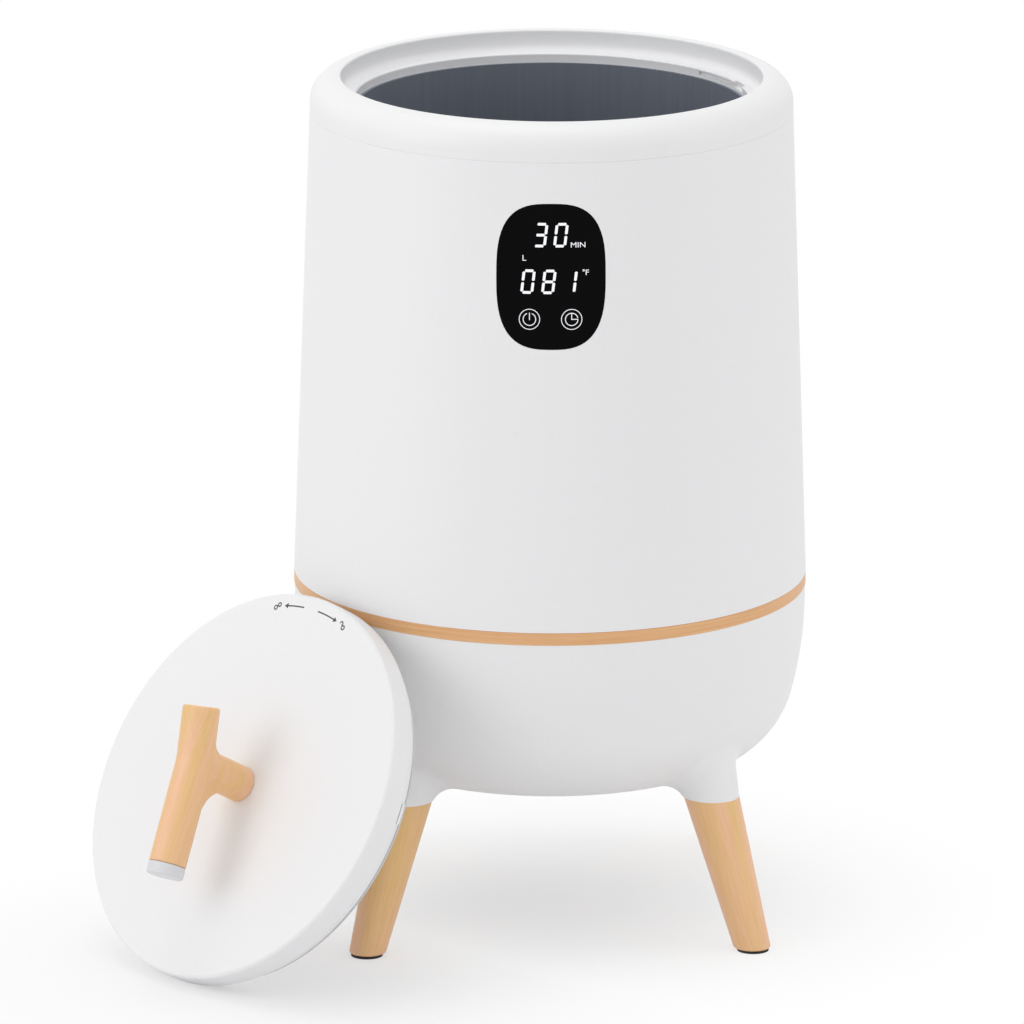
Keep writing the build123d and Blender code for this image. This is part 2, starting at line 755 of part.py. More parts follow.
def make_display_frame():
    """Light frame behind the window, with a cell for each digit and each key, and two ears a side."""
    outwards = (Align.CENTER, Align.MAX, Align.CENTER)
    frame = Pos(0, -frame_back, display_middle) * Box(
        display_width + 2 * frame_border, ring_radius, display_height + 2 * frame_border, align=outwards)
    frame &= wall_space(display_gap, ring_bottom)
    for x, height in display_screw_places():
        frame += Pos(x, -frame_back, height) * Box(frame_ear, frame_ear_thickness, frame_ear, align=outwards)
    for x, height in display_screw_places():
        frame -= on_front(x, height, frame_back - past) * Cylinder(
            display_screw_radius + 2 * shaft_gap, frame_ear_thickness + 2 * past, align=UP)
    cell = Rectangle(digit_width + 2 * cell_gap, digit_height + 2 * cell_gap)
    for x, up in digit_places():
        frame -= through_front(Pos(x, up) * cell)
    for x, up in key_places():
        frame -= through_front(Pos(x, up) * Circle(key_radius + cell_gap))
    return frame


def make_display_board():
    """Circuit board behind the light frame."""
    shrink = frame_border - board_margin
    return Pos(0, -frame_back, display_middle) * Box(
        display_width + 2 * shrink, board_thickness, display_height + 2 * shrink,
        align=(Align.CENTER, Align.MIN, Align.CENTER))


def make_digits():
    """Seven-segment modules on the board."""
    module = Box(digit_width, digit_height, digit_depth, align=UP)
    return group([on_front(x, display_middle + up, frame_back) * module for x, up in digit_places()])


def make_touch_pads():
    """Conductive foam posts between the board and the window's touch keys."""
    reach = wall_radius(display_middle - key_drop) - wall_thickness
    length = sqrt(reach ** 2 - (key_spacing / 2 + key_radius) ** 2) - frame_back - key_gap
    post = Cylinder(key_radius, length, align=UP)
    return group([on_front(x, display_middle + up, frame_back) * post for x, up in key_places()])


def make_display_screws():
    """Screws of the light frame."""
    one = screw(display_screw_radius, frame_ear_thickness + display_screw_bite,
                display_head_radius, display_head_height)
    return group([on_front(x, height, frame_back) * one for x, height in display_screw_places()])


# ================================================================ electronics in the base
def make_power_board():
    """Power board on the bottom cover's standoffs."""
    board = Pos(0, 0, board_height) * Box(board_length, board_width, board_thickness, align=UP)
    for x, y in board_holes():
        board -= Pos(x, y, 0) * rod(board_screw_radius + 2 * shaft_gap, board_height - past,
                                    board_face + past)
    return board


def on_board(place, size):
    """A block standing on the power board."""
    return Pos(place[0], place[1], board_face) * Box(*size, align=UP)


def make_terminal_block():
    """Three-way terminal block with its screw wells."""
    block = on_board(block_place, (block_length, block_width, block_height))
    top = board_face + block_height
    for k in (-1, 0, 1):
        block -= Pos(block_place[0] + k * block_pitch, block_place[1], 0) * rod(
            block_well_radius, top - block_well_depth, top + past)
    return block


def make_transformer():
    """Small mains transformer: a wound bobbin between two core halves."""
    return on_board(transformer_place, core_size) + on_board(transformer_place, bobbin_size)


def make_capacitors():
    """Two upright capacitors."""
    cans = []
    for x, y in can_places:
        can = Pos(x, y, 0) * rod(can_radius, board_face, board_face + can_height)
        cans.append(fillet(can.edges().sort_by(Axis.Z)[-1:], can_rounding))
    return group(cans)


# ================================================================ cord inlet
def make_gland():
    """Cord bush through the rear of the base."""
    body = rod(gland_radius, gland_inner_end, gland_boss_face + gland_flange / 2)
    flange = rod(gland_flange_radius, gland_boss_face, gland_outer_end)
    flange = fillet(flange.edges().sort_by(Axis.Z)[-1:], gland_rounding)
    return to_rear * (body + flange - rod(inlet_bore_radius, gland_inner_end - past, gland_outer_end + past))


def make_gland_nut():
    """Hexagonal nut that holds the bush."""
    top = gland_boss_face - gland_boss_depth
    nut = Pos(0, 0, top - gland_nut_height) * extrude(RegularPolygon(gland_nut_radius, 6), gland_nut_height)
    return to_rear * (nut - rod(gland_radius + shaft_gap, top - gland_nut_height - past, top + past))


# ================================================================ lid, drawn with its face at z = 0
def make_lid_top():
    """Shallow round cap with four bosses for the base and one for the handle."""
    skirt_inner = lid_radius - lid_skin
    corners = [(0, 0), (lid_radius, 0), (lid_radius, -lid_thickness), (skirt_inner, -lid_thickness),
               (skirt_inner, -lid_skin), (0, -lid_skin)]
    cap = turned(corners, [0, lid_top_fillet, lid_edge_fillet, lid_edge_fillet / 2, lid_edge_fillet, 0])
    boss_foot = plug_floor_top + lid_boss_gap
    boss = Pos(lid_boss_circle, 0, 0) * rod(lid_boss_radius, boss_foot, -lid_skin)
    hole = Pos(lid_boss_circle, 0, 0) * rod(small_screw_radius + shaft_gap, boss_foot - past,
                                            boss_foot + lid_screw_bite + hole_spare)
    for piece in around(boss, lid_boss_count, lid_boss_first):
        cap += piece
    for piece in around(hole, lid_boss_count, lid_boss_first):
        cap -= piece
    cap += rod(handle_boss_radius, washer_top, -lid_skin)
    return cap - rod(handle_screw_radius + 2 * shaft_gap, washer_foot, past)


def make_lid_base():
    """Underside of the lid: a cup that plugs the bucket, with the seal's groove and two lugs."""
    under = -lid_thickness
    groove_top = under - plug_height
    groove_foot = groove_top - groove_height
    rim = lid_radius - lid_skin - fit_gap
    cup_inner = groove_radius - plug_skin
    cup = turned([(0, plug_foot), (plug_lip_radius, plug_foot), (plug_lip_radius, groove_foot),
                  (groove_radius, groove_foot), (groove_radius, groove_top), (plug_radius, groove_top),
                  (plug_radius, under), (rim, under), (rim, under + plug_collar),
                  (cup_inner, under + plug_collar), (cup_inner, plug_floor_top), (0, plug_floor_top)])
    lug_top = under - lug_drop
    for azimuth in (0, 180):
        cup += sector(groove_radius, plug_radius + lug_reach, lug_top - lug_height, lug_top,
                      azimuth - lug_angle / 2, azimuth + lug_angle / 2)
    hole = Pos(lid_boss_circle, 0, 0) * rod(small_screw_radius + 2 * shaft_gap, plug_foot - past,
                                            plug_floor_top + past)
    for piece in around(hole, lid_boss_count, lid_boss_first):
        cup -= piece
    return cup


def make_lid_seal():
    """Silicone ring in the plug's groove, with two soft lips."""
    top = -(lid_thickness + plug_height) - seal_gap
    foot = -(lid_thickness + plug_height + groove_height) + seal_gap
    inner = groove_radius + seal_gap
    return turned([(inner, foot), (seal_radius, foot), (seal_radius, foot + seal_lip),
                   (seal_radius - seal_waist, (top + foot) / 2), (seal_radius, top - seal_lip),
                   (seal_radius, top), (inner, top)])


def make_lid_insulation():
    """Foam disc inside the lid."""
    outer = groove_radius - plug_skin - lid_insulation_gap
    disc = tube(outer, lid_insulation_hole, plug_floor_top, -lid_skin - lid_insulation_drop)
    post = Pos(lid_boss_circle, 0, 0) * rod(lid_boss_radius + 2 * fit_gap, plug_foot, 0)
    for piece in around(post, lid_boss_count, lid_boss_first):
        disc -= piece
    return disc


def grip_point(length, rise):
    """A point on the grip's axis, this far from the bend."""
    return (0, length * cos(radians(rise)), stem_height + length * sin(radians(rise)))


def make_lid_handle():
    """Forked branch: a bent grip on a short stem, with the insert's and the cap's bores."""
    upper = grip_point(grip_upper, grip_upper_rise)
    lower = grip_point(-grip_lower, -grip_lower_rise)
    bend = (0, 0, stem_height)
    path = FilletPolyline(upper, bend, lower, radius=grip_bend_radius)
    start = Plane(origin=path @ 0, z_dir=path % 0)
    grip = sweep(start * Circle(grip_radius), path=path)
    grip = fillet(grip.faces().sort_by(Axis.Y)[-1].edges(), grip_end_rounding)
    handle = grip + rod(stem_radius, 0, stem_height) + make_fork_web()
    handle -= rod(handle_insert_radius + shaft_gap, -past, handle_insert_length)
    spigot_hole = rod(cap_spigot_radius + shaft_gap, -past, cap_spigot + hole_spare)
    return handle - cap_plane().location * spigot_hole


def make_fork_web():
    """Rounded web inside the fork that fills its two crotches."""
    half = stem_radius - web_inset
    inset = web_inset * sqrt(2) / (sqrt(2) - 1)     # so that the web's curve meets the crotch's
    arms = Pos(0, stem_height / 2) * Rectangle(2 * half, stem_height)
    for length, rise in ((grip_upper, grip_upper_rise), (-grip_lower, -grip_lower_rise)):
        arm = Pos(length / 2, 0) * Rectangle(abs(length), 2 * half)
        arms += Pos(0, stem_height) * Rot(0, 0, rise) * arm
    for side, rounding in ((1, fork_upper_fillet), (-1, fork_lower_fillet)):
        crotch = [v for v in arms.vertices() if abs(v.X - side * half) < past
                  and stem_height / 2 < v.Y < stem_height]
        arms = fillet(crotch, rounding + inset)
    return extrude(Plane.YZ * arms, web_depth, both=True)


def cap_plane():
    """Plane on the grip's lower end, its z pointing into the grip."""
    turn = radians(grip_lower_rise)
    end = grip_point(-grip_lower, -grip_lower_rise)
    return Plane(origin=end, x_dir=(1, 0, 0), z_dir=(0, cos(turn), -sin(turn)))


def make_handle_cap():
    """White end cap of the grip."""
    cap = rod(grip_radius, -cap_height, -cap_gap)
    cap = fillet(cap.edges().sort_by(Axis.Z)[:1], cap_rounding)
    return cap_plane().location * (cap + rod(cap_spigot_radius, -cap_height / 2, cap_spigot))


def make_handle_insert():
    """Brass insert in the handle's stem."""
    return tube(handle_insert_radius, handle_screw_radius + shaft_gap, lead_end_gap,
                handle_insert_length - hole_spare)


def make_handle_screw():
    """Screw that holds the handle from inside the lid."""
    one = screw(handle_screw_radius, handle_screw_bite - washer_foot, handle_head_radius,
                handle_head_height)
    return Pos(0, 0, washer_foot) * one


def make_handle_washer():
    """Washer under the handle's screw."""
    return tube(washer_radius, handle_screw_radius + shaft_gap, washer_foot, washer_top)


def lean_location():
    """Where the lid's face centre is when its edge is on the floor and its plug on the ring."""
    tilt = radians(lean_tilt)
    edge = lid_edge_fillet
    low = [(lid_radius - edge, lid_thickness - edge, edge), (seal_radius, -plug_foot - plug_lip, 0),
           (plug_lip_radius, -plug_foot, 0)]
    height = max(r * cos(tilt) + deep * sin(tilt) + extra for r, deep, extra in low)
    back = max(r * sin(tilt) + deep * cos(tilt) for r, deep, extra in low)
    away = ring_radius + lean_gap + back
    centre = (away * cos(radians(lean_azimuth)), away * sin(radians(lean_azimuth)), height)
    facing = radians(lean_azimuth + lean_twist)
    normal = (cos(tilt) * cos(facing), cos(tilt) * sin(facing), sin(tilt))
    level = (-sin(facing), cos(facing), 0)
    return Plane(origin=centre, x_dir=level, z_dir=normal).location * Rot(0, 0, lean_roll)


# ================================================================ wires
def lead_down(x, start_y, top, end):
    """A lead that drops from a height, passes the tray by its passage and ends on the power board."""
    passage = heater_bottom - passage_drop
    turn = shelf_bottom - tray_clearance
    return [(x, start_y, top), (x, start_y, passage + passage_slope), (x, -lead_reach, passage),
            (x, -lead_reach, turn), ((x + end[0]) / 2, (end[1] - lead_reach) / 2, turn - lead_dip),
            (end[0], end[1], board_face + lead_rise), (end[0], end[1], board_face + lead_end_gap)]


def make_heater_leads():
    """Pair of heater leads from the mat's lower edge to the power board."""
    start = -(heater_inner + wire_radius)
    leads = []
    for side, end in zip((-1, 1), heater_lead_ends):
        route = lead_down(side * heater_lead_offset, start, heater_bottom - lead_end_gap, end)
        leads.append(wire(route, wire_radius, wire_bend))
    return group(leads)


def make_display_lead():
    """Lead of the display board."""
    start = -(frame_back - board_thickness / 2)
    top = display_middle - display_height / 2 - frame_border - lead_end_gap
    return wire(lead_down(display_lead_offset, start, top, display_lead_end), ribbon_radius, wire_bend)


def make_sensor_leads():
    """Leads of the temperature sensor and the thermal cut-out."""
    leads = []
    for x, height, end in ((sensor_place, sensor_height, sensor_lead_end),
                           (cutout_place, cutout_height, cutout_lead_end)):
        top = bucket_underside - height - lead_end_gap
        route = [(x, 0, top), (x, 0, top - sensor_lead_drop), (end[0], end[1], board_face + lead_rise),
                 (end[0], end[1], board_face + lead_end_gap)]
        leads.append(wire(route, wire_radius, wire_bend))
    return group(leads)


# ================================================================ write every node
save("outer_wall", make_outer_wall())
save("top_rim", make_top_rim())
save("trim_ring", make_trim_ring())
save("base_bowl", make_base_bowl())
save("bottom_cover", make_bottom_cover())
cover_screw = Pos(cover_screw_circle, 0, cover_bottom) * screw(
    small_screw_radius, cover_thickness + cover_screw_bite, small_head_radius, small_head_height)
save("cover_screws", group(around(cover_screw, cover_screw_count)))

leg_names = ["rear_right", "rear_left", "front_left", "front_right"]
for name, leg, pad in zip(leg_names, around(make_leg(), leg_count, leg_first_azimuth),
                          around(make_pad(), leg_count, leg_first_azimuth)):
    save(f"leg_{name}", leg)
    save(f"foot_pad_{name}", pad)
save("leg_studs", group(around(make_stud(), leg_count, leg_first_azimuth)))
save("leg_inserts", group(around(make_insert(), leg_count, leg_first_azimuth)))

save("inner_bucket", make_inner_bucket())
flange_screw = Pos(flange_screw_circle, 0, flange_underside) * screw(
    small_screw_radius, bucket_wall + flange_screw_bite, small_head_radius, small_head_height)
save("flange_screws", group(around(flange_screw, flange_screw_count, flange_screw_azimuth)))
save("heater_mat", make_heater())
save("insulation_sleeve", make_sleeve())
save("bottom_felt", make_bottom_felt())
save("tray", make_tray())
body_screw = Pos(body_screw_circle, 0, shelf_bottom) * screw(
    body_screw_radius, shelf_thickness + tray_thickness + body_screw_bite, body_head_radius,
    body_head_height)
save("body_screws", group(around(body_screw, body_screw_count)))
save("temperature_sensor", make_puck(sensor_place, sensor_radius, sensor_height))
save("thermal_cutout", make_puck(cutout_place, cutout_radius, cutout_height))

save("display_window", make_display_window())
save("display_frame", make_display_frame())
save("display_board", make_display_board())
save("digit_modules", make_digits())
save("touch_pads", make_touch_pads())
save("display_screws", make_display_screws())

save("power_board", make_power_board())
board_screw = Pos(0, 0, board_face) * Rot(180, 0, 0) * screw(
    board_screw_radius, board_thickness + board_screw_bite, board_head_radius, board_head_height)
save("board_screws", group([Pos(x, y, 0) * board_screw for x, y in board_holes()]))
save("transformer", make_transformer())
save("relay", on_board(relay_place, relay_size))
save("capacitors", make_capacitors())
save("terminal_block", make_terminal_block())
save("heater_leads", make_heater_leads())
save("display_lead", make_display_lead())
save("sensor_leads", make_sensor_leads())
save("cord_gland", make_gland())
save("gland_nut", make_gland_nut())

lean = lean_location()
save("lid_top", lean * make_lid_top())
save("lid_base", lean * make_lid_base())
save("lid_seal", lean * make_lid_seal())
save("lid_insulation", lean * make_lid_insulation())
lid_screw = Pos(lid_boss_circle, 0, plug_foot) * screw(
    small_screw_radius, plug_skin + lid_screw_bite, small_head_radius, small_head_height)
save("lid_screws", lean * group(around(lid_screw, lid_boss_count, lid_boss_first)))
save("lid_handle", lean * make_lid_handle())
save("handle_cap", lean * make_handle_cap())
save("handle_insert", lean * make_handle_insert())
save("handle_screw", lean * make_handle_screw())
save("handle_washer", lean * make_handle_washer())
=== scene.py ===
# %% [markdown]
# # A towel warmer bucket
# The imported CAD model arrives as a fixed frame: every node sits at its real place, in metres, with +Z up
# and the display facing -Y. This lesson gives each surface its finish and adds the fine things that
# are lit, printed or carved: the display's figures, the lock marks on the lid and the lid's branch handle.

# %% Load the frame
import json
import math
import bmesh
import bpy
from mathutils import Euler, Matrix, Vector


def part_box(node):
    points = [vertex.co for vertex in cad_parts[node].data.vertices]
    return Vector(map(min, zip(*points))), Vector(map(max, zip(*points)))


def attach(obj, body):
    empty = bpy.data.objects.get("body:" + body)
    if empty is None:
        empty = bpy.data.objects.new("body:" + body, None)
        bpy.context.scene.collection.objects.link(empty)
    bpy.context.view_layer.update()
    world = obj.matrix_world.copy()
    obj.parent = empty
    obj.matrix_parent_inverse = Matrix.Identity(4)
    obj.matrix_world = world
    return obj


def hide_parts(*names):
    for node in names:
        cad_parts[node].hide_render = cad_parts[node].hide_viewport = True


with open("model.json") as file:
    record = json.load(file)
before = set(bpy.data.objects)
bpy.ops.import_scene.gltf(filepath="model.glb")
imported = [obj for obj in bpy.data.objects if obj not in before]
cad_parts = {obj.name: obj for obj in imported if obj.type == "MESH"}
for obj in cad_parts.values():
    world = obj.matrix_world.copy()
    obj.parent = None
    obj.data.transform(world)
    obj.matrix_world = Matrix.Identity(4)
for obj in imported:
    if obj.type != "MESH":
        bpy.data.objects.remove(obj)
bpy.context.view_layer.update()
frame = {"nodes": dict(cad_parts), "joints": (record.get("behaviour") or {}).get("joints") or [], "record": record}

MM = 0.001
nodes = frame["nodes"]
joints = {joint["name"]: joint for joint in frame["joints"]}

# %% [markdown]
# ## Three small tools
# Colours are written as sRGB hex, the way a maker's colour card gives them, but shaders work in linear
# light, so one function converts them. One function adds a node with its settings and links, and one
# turns a finished bmesh into an object that stays at the origin, with its place in its mesh.

# %% Colour and node tools
def colour(code):
    """Linear RGBA of an sRGB hex colour."""
    parts = [int(code[k:k + 2], 16) / 255 for k in (1, 3, 5)]
    return [v / 12.92 if v <= 0.04045 else ((v + 0.055) / 1.055) ** 2.4 for v in parts] + [1.0]


def add(tree, kind, sockets=None, **settings):
    """Add a node, with its settings, and fill its sockets with values or other nodes' outputs."""
    node = tree.nodes.new(kind)
    for name, value in settings.items():
        setattr(node, name, value)
    for name, value in (sockets or {}).items():
        if isinstance(value, bpy.types.NodeSocket):
            tree.links.new(value, node.inputs[name])
        else:
            node.inputs[name].default_value = value
    return node


print("middle grey #808080 is", round(colour("#808080")[0], 3), "in linear light")

# %% Object tool
def finish_mesh(bm, name, smooth=True):
    """Turn a bmesh into an object at the origin, with its faces outwards."""
    bmesh.ops.recalc_face_normals(bm, faces=bm.faces)
    open_edges = sum(not edge.is_manifold for edge in bm.edges)
    mesh = bpy.data.meshes.new(name)
    bm.to_mesh(mesh)
    bm.free()
    for face in mesh.polygons:
        face.use_smooth = smooth
    piece = bpy.data.objects.new(name, mesh)
    bpy.context.scene.collection.objects.link(piece)
    print(name, "faces:", len(mesh.polygons), "open edges:", open_edges)
    return piece


# %% [markdown]
# ## One recipe for grain
# Moulded plastic, felt, foam, rubber and plated steel are each one colour with a fine grain. A Noise
# Texture read in Object coordinates gives it, through a Mapping node of type Texture, whose scale is then
# the real size of a grain along each axis, in metres. The grain varies the colour, the roughness and a
# shallow bump, so no surface is perfectly flat or even.

# %% The grain recipe
grain_stops = (0.3, 0.7)
grain_detail = 3.0


def grained(name, light, dark, grain_mm, roughness, depth_mm, **sockets):
    """A finish whose colour runs between light and dark in grains of a real size."""
    material = bpy.data.materials.new(name)
    material.use_nodes = True
    tree = material.node_tree
    shader = tree.nodes["Principled BSDF"]
    place = add(tree, "ShaderNodeTexCoord").outputs["Object"]
    where = add(tree, "ShaderNodeMapping", {"Vector": place, "Scale": [v * MM for v in grain_mm]},
                vector_type="TEXTURE").outputs["Vector"]
    grain = add(tree, "ShaderNodeTexNoise", {
        "Vector": where, "Scale": 1.0, "Detail": grain_detail}).outputs["Fac"]
    shades = add(tree, "ShaderNodeValToRGB", {"Fac": grain})
    for stop, position, code in zip(shades.color_ramp.elements, grain_stops, (dark, light)):
        stop.position = position
        stop.color = colour(code)
    rough = add(tree, "ShaderNodeMapRange", {"Value": grain, "To Min": roughness[0], "To Max": roughness[1]})
    bump = add(tree, "ShaderNodeBump", {"Height": grain, "Distance": depth_mm * MM})
    tree.links.new(shades.outputs["Color"], shader.inputs["Base Color"])
    tree.links.new(rough.outputs["Result"], shader.inputs["Roughness"])
    tree.links.new(bump.outputs["Normal"], shader.inputs["Normal"])
    for socket, value in sockets.items():
        shader.inputs[socket.replace("_", " ")].default_value = value
    return material


# %% [markdown]
# ## The white housing
# The wall, rim, base and lid are injection-moulded ABS in satin white. The tool's spark-eroded texture
# makes highlights broad and soft, so the roughness is middling. Its grain is really about 0.1 mm; here it
# is drawn 1.2 mm wide and very shallow, so that it shows at all. The plug in the handle's end is the same
# ABS, drawn in a cooler and darker white; part of that darkening is painted shade.

# %% White ABS
spark_grain = (1.2, 1.2, 1.2)
white_abs = grained("satin_white_moulded_ABS", "#f1f1f2", "#efeff0", spark_grain, (0.42, 0.48), 0.006,
                    IOR=1.54)
# The plug's darker white is partly painted shade, not only the colour of its ABS.
cap_abs_with_painted_shade = grained("cool_white_ABS_with_painted_shade", "#dedee1", "#d8d8db", spark_grain, (0.40, 0.46), 0.006,
                  IOR=1.54)
print("housing:", white_abs.name, "plug:", cap_abs_with_painted_shade.name)

# %% [markdown]
# ## The copper band
# The trim ring is ABS painted in a warm copper peach, with fine lines left by wiping round it. The grain
# is stretched along the floor plane and squeezed in height, so that it runs round the ring. A little
# metallic keeps the paint's flakes alive without turning it into bare metal.

# %% Copper paint
wiping_grain = (50, 50, 0.6)
copper_paint = grained("satin_copper_paint_on_ABS", "#e8b886", "#dba36e", wiping_grain, (0.34, 0.44), 0.01,
                       IOR=1.5, Metallic=0.15)
print("trim ring:", copper_paint.name)

# %% [markdown]
# ## The bucket's coating
# The inner bucket is spun aluminium under a slate non-stick coating. Spinning and spraying leave faint
# lines up the wall, so this grain is drawn 3 mm wide and 120 mm tall.

# %% Slate coating
spray_grain = (3, 3, 120)
slate_coating = grained("sprayed_slate_coating", "#767c88", "#717782", spray_grain, (0.40, 0.50), 0.01,
                        IOR=1.45)
print("inner bucket:", slate_coating.name)

# %% [markdown]
# ## Rubber, acrylic and silicone
# The foot pads are moulded black rubber, whose open skin swallows light and shows no clear highlight. The
# display's window is polished black acrylic with a coating against glare, so it mirrors next to nothing
# and is the deepest black on the object. Moulded silicone has a soft, waxy sheen: orange on the heater
# mat, pale grey on the lid's seal.

# %% Rubber, acrylic and silicone
slot_finish = {
    "white_plastic": white_abs,
    "copper_trim": copper_paint,
    "grey_coating": slate_coating,
    "rubber_foot": grained("moulded_black_rubber", "#2a2624", "#1d1a19", (0.8, 0.8, 0.8), (0.75, 0.9), 0.02),
    "black_window": grained("polished_black_acrylic", "#040405", "#030304", (20, 20, 20), (0.16, 0.20), 0.001,
                            IOR=1.49, Specular_IOR_Level=0.05),
    "silicone_orange": grained("moulded_orange_silicone", "#c8602f", "#b85226", (1.5, 1.5, 1.5), (0.5, 0.65),
                               0.03),
    "silicone_grey": grained("moulded_grey_silicone", "#d2d3d4", "#c8c9cb", (1, 1, 1), (0.45, 0.6), 0.01),
}
print("finishes so far:", len(slot_finish))

# %% [markdown]
# ## Plastics and boards inside
# Black ABS and grey nylon mouldings have the satin skin of their tools. The boards are glass laminate
# under green solder mask, a smooth lacquer. The digits shine through milky epoxy, which is soft and pale.
# A shrink sleeve is drawn tight and glossy over each capacitor, and the leads' silicone sleeves are dull
# and powdery.

# %% Plastics and boards inside
slot_finish.update({
    "black_plastic": grained("black_moulded_ABS", "#1c1c1e", "#161618", (1, 1, 1), (0.5, 0.6), 0.01),
    "grey_plastic": grained("grey_moulded_nylon", "#c8c8ca", "#bebec1", (1, 1, 1), (0.45, 0.55), 0.01),
    "circuit_board": grained("green_solder_mask_laminate", "#1d5a3c", "#174a31", (3, 3, 3), (0.3, 0.45),
                             0.01),
    "led_module": grained("diffusing_epoxy", "#dcdcd6", "#d0d0c8", (2, 2, 2), (0.4, 0.5), 0.01),
    "capacitor_sleeve": grained("blue_shrink_sleeve", "#2c3566", "#242c57", (2, 2, 2), (0.25, 0.35), 0.005),
    "lead_sleeve": grained("silicone_wire_sleeve", "#e4e1d8", "#d6d2c7", (0.8, 0.8, 0.8), (0.45, 0.6), 0.01),
})
print("finishes so far:", len(slot_finish))

# %% [markdown]
# ## Metals inside
# Zinc plate makes the screws a cool grey with a blurred mirror. The inserts are brass from a lathe, warm
# and finely lined across their axis, and the sensors' cans are steel drawn into cups, with lines along the
# draw. The transformer's core is a stack of thin steel sheets under brown varnish, so it shows as stripes
# and isn't metallic to the eye.

# %% Metals inside
slot_finish.update({
    "zinc_steel": grained("zinc_plated_steel", "#c9ccd0", "#a9adb3", (2, 2, 2), (0.25, 0.4), 0.005,
                          Metallic=1.0),
    "brass": grained("machined_brass", "#dcb768", "#c79f4f", (8, 8, 0.3), (0.22, 0.35), 0.005, Metallic=1.0),
    "sensor_metal": grained("drawn_steel_can", "#c4c6c8", "#aeb0b3", (0.3, 0.3, 6), (0.25, 0.35), 0.004,
                            Metallic=1.0),
    "transformer_core": grained("varnished_core_laminations", "#5a4c3c", "#3b332a", (12, 12, 0.4), (0.4, 0.6),
                                0.02),
})
print("finishes so far:", len(slot_finish))

# %% [markdown]
# ## Felt and foams
# Needled felt is a mat of loose fibres: fully matt, with a faint sheen where it turns away. The lid's
# closed-cell foam is pale, with fine pores. The foam under the touch keys is loaded with carbon, so it
# conducts and is nearly black.

# %% Felt and foams
slot_finish.update({
    "felt": grained("needled_felt", "#e3dfd4", "#c9c4b7", (0.5, 0.5, 2.5), (0.9, 1.0), 0.3, Sheen_Weight=0.3),
    "foam": grained("closed_cell_foam", "#ecebe6", "#d9d8d2", (0.8, 0.8, 0.8), (0.85, 0.95), 0.15),
    "conductive_foam": grained("carbon_loaded_foam", "#2b2b2b", "#151515", (0.6, 0.6, 0.6), (0.9, 1.0), 0.1),
})
print("finishes:", len(slot_finish))

# %% [markdown]
# ## Maple
# The legs and the handle are turned maple under satin lacquer. The wood is almost even, with long soft
# streaks from pink to straw along the grain and a few finer fibres. Two stretched noises make them. The
# streaks are 9 mm wide and 300 mm long, the fibres 0.9 mm by 60 mm, and each piece turns the pattern so
# that it runs along that piece.

# %% Lacquered maple
wood_layers = ((9, 300), (0.9, 60))
streak_stops = ((0.34, "#ecc182"), (0.66, "#f3c29b"))
fibre_stops = ((0.30, "#fbf7f1"), (0.60, "#ffffff"))
lacquer = {"Roughness": 0.45, "IOR": 1.5, "Coat Weight": 0.15, "Coat Roughness": 0.35}


def maple(name, along, start):
    """Lacquered maple whose grain runs in one direction and whose pattern starts at one point."""
    material = bpy.data.materials.new("lacquered_maple_" + name)
    material.use_nodes = True
    tree = material.node_tree
    shader = tree.nodes["Principled BSDF"]
    place = add(tree, "ShaderNodeTexCoord").outputs["Object"]
    turn = Vector(along).to_track_quat("Z", "Y").to_euler()
    layers = []
    for width, length in wood_layers:
        where = add(tree, "ShaderNodeMapping", {
            "Vector": place, "Location": start, "Rotation": turn,
            "Scale": (width * MM, width * MM, length * MM)}, vector_type="TEXTURE").outputs["Vector"]
        layers.append(add(tree, "ShaderNodeTexNoise", {
            "Vector": where, "Scale": 1.0, "Detail": 1.0}).outputs["Fac"])
    streaks = add(tree, "ShaderNodeValToRGB", {"Fac": layers[0]})
    fibres = add(tree, "ShaderNodeValToRGB", {"Fac": layers[1]})
    for ramp, stops in ((streaks, streak_stops), (fibres, fibre_stops)):
        for stop, (position, code) in zip(ramp.color_ramp.elements, stops):
            stop.position = position
            stop.color = colour(code)
    wood = add(tree, "ShaderNodeMix", {"Factor": 1.0}, data_type="RGBA", blend_type="MULTIPLY")
    tree.links.new(streaks.outputs["Color"], wood.inputs["A"])
    tree.links.new(fibres.outputs["Color"], wood.inputs["B"])
    bump = add(tree, "ShaderNodeBump", {"Height": layers[1], "Distance": 0.01 * MM})
    tree.links.new(wood.outputs["Result"], shader.inputs["Base Color"])
    tree.links.new(bump.outputs["Normal"], shader.inputs["Normal"])
    for socket, value in lacquer.items():
        shader.inputs[socket].default_value = value
    return material


# %% [markdown]
# ## Dress the frame
# Every CAD node takes the finish of its slot in the record, and only the plug in the handle, which shares
# the housing's slot, gets its own cooler and darker white, which is partly painted shade. A leg's grain
# runs along the leg, from its foot up to the bowl. The middle of its box gives the side that the leg stands on,
# and all four splay by the same angle.

# %% Finish on each node
leg_splay = math.radians(20.6)


def leg_grain(name):
    """Direction of a leg, from its foot up to the bowl."""
    low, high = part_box(name)
    middle = (low + high) / 2
    inward = -Vector((middle.x, middle.y, 0)).normalized()
    return inward * math.sin(leg_splay) + Vector((0, 0, math.cos(leg_splay)))


for part in frame["record"]["subparts"]:
    name, finish = part["node"], part["material_slot"]
    # The plug in the handle takes the darker white, which is partly painted shade.
    if name == "handle_cap":
        material = cap_abs_with_painted_shade
    elif name.startswith("leg_") and finish == "maple":
        material = maple(name, leg_grain(name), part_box(name)[0])
    else:
        material = slot_finish.get(finish, white_abs)
    nodes[name].data.materials.clear()
    nodes[name].data.materials.append(material)
print("nodes dressed:", len(nodes))

# %% [markdown]
# ## The lid's own axes
# The lid leans on the body, so what is on it is drawn in its own axes: outwards from its face, up its
# slope, and to its right. The joint that turns the lid gives the middle of its face and its axis.

